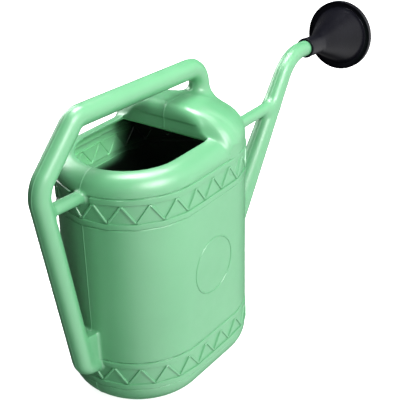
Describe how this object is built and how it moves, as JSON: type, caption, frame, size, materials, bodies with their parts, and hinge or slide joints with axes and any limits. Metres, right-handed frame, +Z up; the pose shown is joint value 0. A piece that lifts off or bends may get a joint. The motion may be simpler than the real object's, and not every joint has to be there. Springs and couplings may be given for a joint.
{
  "type": "watering can",
  "caption": "Tall oval plastic watering can with a hooded mouth, a one-piece tube handle running front to back, a braced long spout and a push-on conical rose.",
  "frame": {"origin": "centre of the flat base, on the surface the can stands on", "axes": "+X forward towards the spout, +Y to the can's left, +Z up"},
  "size_m": [0.6479, 0.1724, 0.374],
  "materials": {
    "can_plastic": "satin light green polyethylene",
    "rose_plastic": "glossy black"
  },
  "bodies": {
    "can": {"base": "can_plastic", "tank": "can_plastic", "shoulder": "can_plastic", "hood": "can_plastic", "upper_zigzag": "can_plastic", "lower_zigzag": "can_plastic", "side_rings": "can_plastic", "handle": "can_plastic", "handle_web": "can_plastic", "handle_stay": "can_plastic", "spout": "can_plastic", "spout_tip": "can_plastic", "spout_stay": "can_plastic"},
    "rose": {"rose_body": "rose_plastic"},
    "face": {"rose_face": "rose_plastic"}
  },
  "joints": [
    {"name": "rose_pull", "type": "slide", "parent": "can", "child": "rose", "axis": [0.9962, 0, -0.0872], "range_m": [0, 0.06]},
    {"name": "face_pull", "type": "slide", "parent": "rose", "child": "face", "axis": [0.9962, 0, -0.0872], "range_m": [0, 0.03]}
  ]
}
